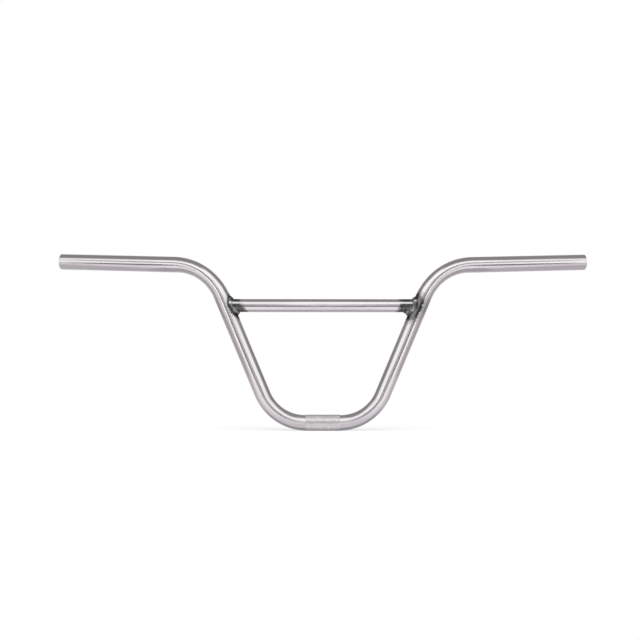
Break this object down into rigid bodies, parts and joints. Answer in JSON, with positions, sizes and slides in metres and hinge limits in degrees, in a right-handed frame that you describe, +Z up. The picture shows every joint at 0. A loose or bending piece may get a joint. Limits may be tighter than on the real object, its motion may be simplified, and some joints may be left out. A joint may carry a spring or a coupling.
{
  "type": "bmx handlebar",
  "caption": "Bent steel bicycle handlebar with tall splayed uprights, swept-back open ends, a knurled band for the stem's clamp and a straight crossbar welded between the uprights.",
  "frame": {"origin": "middle of the knurled clamp band, on the clamp's axis", "axes": "+X along the clamp's axis, +Y to the back, the way the grips sweep, +Z up the bar's rise"},
  "size_m": [0.7568, 0.0643, 0.251],
  "materials": {
    "tube_steel": "brushed raw steel under clear lacquer",
    "crossbar_steel": "brushed raw steel under clear lacquer",
    "weld_steel": "heat-darkened weld under clear lacquer"
  },
  "bodies": {
    "root": {"main_tube": "tube_steel", "crossbar": "crossbar_steel", "weld_beads": "weld_steel"}
  },
  "joints": []
}
